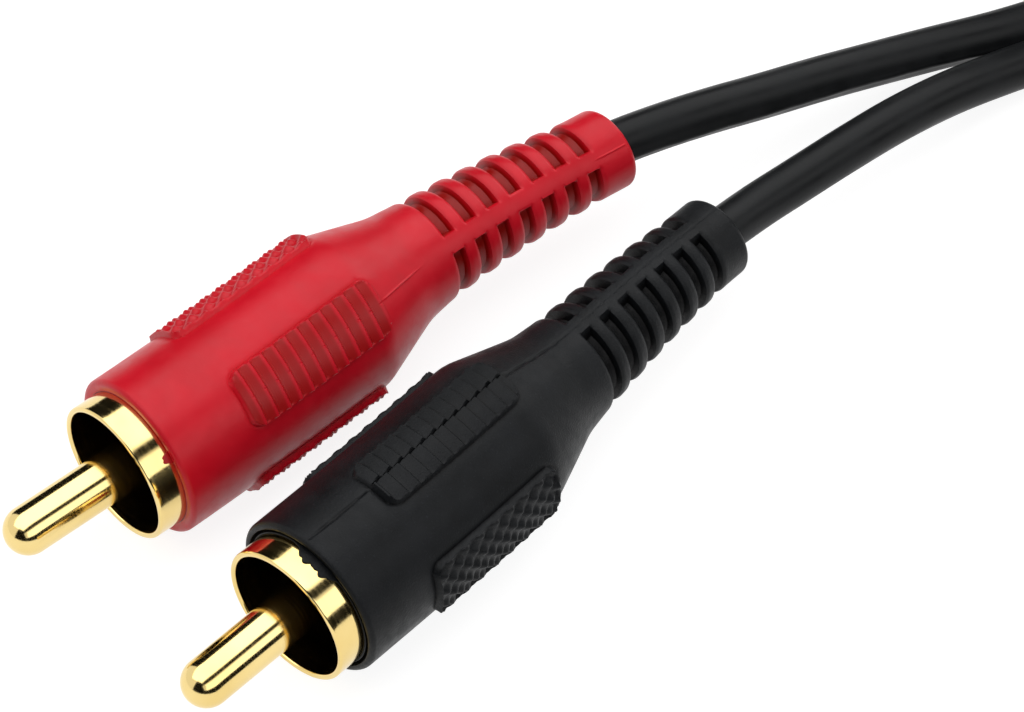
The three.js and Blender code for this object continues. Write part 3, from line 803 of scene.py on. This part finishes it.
class Nodes:
    """A material's node tree, with short calls for the nodes used here."""

    def __init__(self, name, colour, roughness, metallic=0.0, specular=0.5):
        self.material = bpy.data.materials.new(name)
        self.material.use_nodes = True
        self.material.diffuse_color = (*colour, 1)
        self.tree = self.material.node_tree
        self.shader = self.tree.nodes["Principled BSDF"]
        self.set(self.shader, "Base Color", (*colour, 1))
        self.set(self.shader, "Roughness", roughness)
        self.set(self.shader, "Metallic", metallic)
        self.set(self.shader, "Specular IOR Level", specular)
        self.place = self.add("ShaderNodeTexCoord").outputs["Object"]

    def add(self, kind, **settings):
        node = self.tree.nodes.new(kind)
        for label, value in settings.items():
            setattr(node, label, value)
        return node

    def set(self, node, socket, value):
        """Sets a socket, or links it where the value is another node's output."""
        if isinstance(value, bpy.types.NodeSocket):
            self.tree.links.new(value, node.inputs[socket])
        else:
            node.inputs[socket].default_value = value

    def mapped(self, scale):
        """The place on the object, stretched along each axis."""
        node = self.add("ShaderNodeMapping")
        self.set(node, "Vector", self.place)
        self.set(node, "Scale", scale)
        return node.outputs["Vector"]

    def noise(self, scale, detail, roughness=0.6, vector=None):
        node = self.add("ShaderNodeTexNoise")
        self.set(node, "Vector", vector or self.place)
        self.set(node, "Scale", scale)
        self.set(node, "Detail", detail)
        self.set(node, "Roughness", roughness)
        return node.outputs["Fac"]

    def attribute(self, name):
        return self.add("ShaderNodeAttribute", attribute_name=name).outputs["Fac"]

    def band(self, value, start, end, low=0.0, high=1.0):
        """A value mapped from start..end to low..high, smoothly and clamped."""
        node = self.add("ShaderNodeMapRange", interpolation_type="SMOOTHSTEP")
        for socket, number in zip(
            ("Value", "From Min", "From Max", "To Min", "To Max"), (value, start, end, low, high)
        ):
            self.set(node, socket, number)
        return node.outputs["Result"]

    def math(self, operation, a, b):
        node = self.add("ShaderNodeMath", operation=operation)
        self.set(node, 0, a)
        self.set(node, 1, b)
        return node.outputs[0]

    def mix(self, share, a, b):
        node = self.add("ShaderNodeMix", data_type="RGBA")
        self.set(node, 0, share)
        self.set(node, 6, a)
        self.set(node, 7, b)
        return node.outputs[2]

    def clouded(self, cloud, one, other, start=0.3):
        """One colour with soft clouds of another."""
        return self.mix(self.band(cloud, start, 0.7), (*one, 1), (*other, 1))

    def bump(self, layers):
        """Bump layers of [height, strength, depth in metres], one over the other."""
        normal = None
        for height, strength, depth in layers:
            node = self.add("ShaderNodeBump")
            self.set(node, "Height", height)
            self.set(node, "Strength", strength)
            self.set(node, "Distance", depth)
            if normal:
                self.set(node, "Normal", normal)
            normal = node.outputs["Normal"]
        self.set(self.shader, "Normal", normal)


def moulded_red():
    n = Nodes("moulded_red", (0.6, 0.006, 0.018), 0.36, specular=0.27)
    colour = n.clouded(n.noise(220, 3), (0.6, 0.005, 0.016), (0.69, 0.007, 0.021))
    painted_shade = n.attribute("painted_shade")
    # Painted shade: darker red where the shade mask marks valleys, pad feet, slots and the flash
    colour = n.mix(n.band(painted_shade, 0.1, 0.9, 0, 1), colour, (0.34, 0.003, 0.0008, 1))
    n.set(n.shader, "Base Color", colour)
    grain = n.noise(5200, 2)
    flow = n.noise(900, 3)
    n.set(n.shader, "Roughness", n.band(flow, 0.3, 0.75, 0.31, 0.43))
    n.bump([(grain, 0.25, 0.00002), (flow, 0.15, 0.00008)])
    return n.material


def moulded_black():
    n = Nodes("moulded_black", (0.007, 0.0078, 0.0088), 0.42, specular=0.13)
    colour = n.clouded(n.noise(260, 3), (0.005, 0.0056, 0.0063), (0.0085, 0.0094, 0.0108))
    speckle = n.noise(7500, 2, 0.7)
    colour = n.mix(n.band(speckle, 0.62, 0.78, 0, 0.5), colour, (0.03, 0.034, 0.042, 1))
    painted_shade = n.attribute("painted_shade")
    # Painted shade: near black where the shade mask marks valleys, pad feet, seam, slots, the
    # flash and the front opening
    colour = n.mix(n.band(painted_shade, 0.2, 1, 0, 0.8), colour, (0.001, 0.001, 0.0012, 1))
    n.set(n.shader, "Base Color", colour)
    flow = n.noise(1000, 3)
    n.set(n.shader, "Roughness", n.band(flow, 0.3, 0.75, 0.36, 0.5))
    n.bump([(speckle, 0.7, 0.00004), (flow, 0.15, 0.00008)])
    return n.material


def lead_sheath():
    n = Nodes("lead_sheath", (0.007, 0.0077, 0.0082), 0.4, specular=0.15)
    cloud = n.noise(300, 2)
    colour = n.clouded(cloud, (0.0055, 0.006, 0.0065), (0.009, 0.0098, 0.0106))
    n.set(n.shader, "Base Color", colour)
    grain = n.noise(3600, 2)
    n.set(n.shader, "Roughness", n.band(cloud, 0.3, 0.7, 0.34, 0.46))
    n.bump([(grain, 0.25, 0.00003)])
    return n.material


def gold_plate():
    n = Nodes("gold_plate", (0.81, 0.62, 0.26), 0.12, metallic=1)
    colour = n.clouded(n.noise(160, 3), (0.84, 0.65, 0.28), (0.78, 0.58, 0.22), 0.35)
    # Painted shade: dark inside the shell's cup
    colour = n.mix(n.band(n.attribute("painted_shade"), 0, 1, 0, 0.8), colour, (0.06, 0.04, 0.02, 1))
    n.set(n.shader, "Base Color", colour)
    lines = n.noise(900, 3, vector=n.mapped((0.15, 9, 0.15)))
    n.set(n.shader, "Roughness", n.band(lines, 0.3, 0.75, 0.09, 0.17))
    n.bump([(lines, 0.06, 0.00002)])
    return n.material


def plain_material(name, low, high, roughness, scale, metallic=0.0):
    """A plain finish with slight changes of colour, gloss and grain."""
    n = Nodes(name, low, roughness, metallic)
    cloud = n.noise(scale, 3)
    n.set(n.shader, "Base Color", n.clouded(cloud, low, high))
    n.set(n.shader, "Roughness", n.band(cloud, 0.3, 0.7, roughness - 0.06, roughness + 0.06))
    n.bump([(n.noise(scale * 8, 2), 0.2, 0.00004)])
    return n.material


red_material = moulded_red()
black_material = moulded_black()
sheath_material = lead_sheath()
gold_material = gold_plate()
insulator_material = plain_material(
    "insulator", (0.003, 0.003, 0.003), (0.006, 0.006, 0.006), 0.75, 700
)
copper_material = plain_material(
    "bare_copper", (0.6, 0.28, 0.14), (0.75, 0.38, 0.2), 0.35, 900, metallic=1.0
)
polythene_material = plain_material(
    "polythene", (0.72, 0.7, 0.62), (0.82, 0.8, 0.73), 0.45, 500
)
tie_material = plain_material(
    "tie_plastic", (0.012, 0.012, 0.013), (0.02, 0.02, 0.021), 0.45, 600
)


def dress(piece, material):
    """Gives a piece its material and its body."""
    piece.data.materials.clear()
    piece.data.materials.append(material)
    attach(piece, BODY)


INNER = {
    "core_wire": copper_material,
    "core_insulation": polythene_material,
    "shield_tail": copper_material,
}

for plug in PLUGS:
    name = plug["name"]
    is_red = plug["colour"] == "red"
    pieces = looks[name]
    dress(pieces["pin"], gold_material)
    dress(pieces["shell"], gold_material)
    dress(pieces["insulator"], insulator_material)
    dress(
        pieces["moulding"],
        red_material if is_red else black_material,
    )
    for part, piece in pieces.items():
        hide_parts(f"{name}_{part}")
    if name in flashes:
        material = pieces["moulding"].data.materials[0]
        dress(flashes[name], material)
    for part, material in INNER.items():
        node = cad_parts[f"{name}_{part}"]
        node.data.materials.clear()
        node.data.materials.append(material)

for piece in tie:
    dress(piece, tie_material)
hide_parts("tie")
for piece in (red_lead, black_lead):
    dress(piece, sheath_material)
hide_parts("red_lead_near", "red_lead_far")
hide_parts("black_lead_near", "black_lead_far", "lead_hank")


# Floor, lamps and world, all in metres


SEEN_FLOOR = 0.88  # emission of the floor where it is seen
WORLD_LIGHT = 0.1


def make_floor():
    """A grey floor that is seen as white, and keeps the object's shadow."""
    bpy.ops.mesh.primitive_grid_add(x_subdivisions=8, y_subdivisions=8, size=3)
    floor = bpy.context.object
    floor.name = "floor"
    n = Nodes("floor", (0.52, 0.52, 0.52), 0.9, specular=0.0)
    colour = n.clouded(n.noise(6, 2), (0.51, 0.51, 0.51), (0.53, 0.53, 0.53))
    seen = seen_directly(n.tree)
    n.set(n.shader, "Base Color", n.mix(seen, colour, (0.3, 0.3, 0.3, 1)))
    n.set(n.shader, "Emission Color", (1, 1, 1, 1))
    n.set(n.shader, "Emission Strength", n.math("MULTIPLY", seen, SEEN_FLOOR))
    floor.data.materials.append(n.material)


def make_world():
    """A white world that adds only a little light."""
    world = bpy.data.worlds.new("world")
    bpy.context.scene.world = world
    world.use_nodes = True
    nodes, links = world.node_tree.nodes, world.node_tree.links
    strength = nodes.new("ShaderNodeMapRange")
    strength.inputs["To Min"].default_value = WORLD_LIGHT
    strength.inputs["To Max"].default_value = 1.0
    links.new(seen_directly(world.node_tree), strength.inputs["Value"])
    links.new(strength.outputs["Result"], nodes["Background"].inputs["Strength"])
    nodes["Background"].inputs["Color"].default_value = (1, 1, 1, 1)


SPREAD = 0.5  # from the object to the long lamps


def make_lamp(name, start, end, radiance, y=0.15, length=1.4):
    """A long soft lamp that spans two angles from straight up towards +X, facing the object."""
    data = bpy.data.lights.new(name, "AREA")
    data.shape = "RECTANGLE"
    width = 2 * SPREAD * math.tan(math.radians((end - start) / 2))
    data.size = width
    data.size_y = length
    data.energy = radiance * math.pi * width * length
    lamp = bpy.data.objects.new(name, data)
    middle = math.radians((start + end) / 2)
    lamp.location = (SPREAD * math.sin(middle), y, SPREAD * math.cos(middle))
    lamp.rotation_euler = (0, middle, 0)
    lamp.visible_camera = False
    bpy.context.scene.collection.objects.link(lamp)


def make_flag(name, corners):
    """A dark card beside the set, seen only in reflections."""
    mesh = bpy.data.meshes.new(name)
    mesh.from_pydata(corners, [], [(0, 1, 2, 3)])
    flag = bpy.data.objects.new(name, mesh)
    bpy.context.scene.collection.objects.link(flag)
    n = Nodes(name, (0.02, 0.02, 0.02), 0.9, specular=0.0)
    colour = n.mix(n.noise(8, 2), (0.015, 0.015, 0.015, 1), (0.03, 0.03, 0.03, 1))
    n.set(n.shader, "Base Color", colour)
    mesh.materials.append(n.material)
    flag.visible_camera = False
    flag.visible_diffuse = False
    flag.visible_shadow = False
    flag.visible_transmission = False


make_floor()
make_world()
make_lamp("lamp_main", -47, 22, 1.4, y=0.45, length=2.0)
make_lamp("lamp_side", 36, 68, 0.85)
make_flag(
    "flag_left",
    [(-0.7, 0.0, 0.003), (-0.7, 1.5, 0.003), (-0.7, 1.5, 0.6), (-0.7, 0.0, 0.6)],
)
make_flag(
    "flag_gap",
    [(0.2, -0.9, 0.6), (0.2, 1.2, 0.6), (0.5, 1.2, 0.6), (0.5, -0.9, 0.6)],
)
make_flag(
    "flag_right",
    [(0.75, -0.9, 0.003), (0.75, 1.2, 0.003), (0.75, 1.2, 0.3), (0.75, -0.9, 0.3)],
)
make_flag(
    "flag_front",
    [(-0.1, -0.8, 0.003), (0.9, -0.8, 0.003), (0.9, -0.8, 0.9), (-0.1, -0.8, 0.9)],
)

bpy.context.scene.view_settings.view_transform = "Standard"
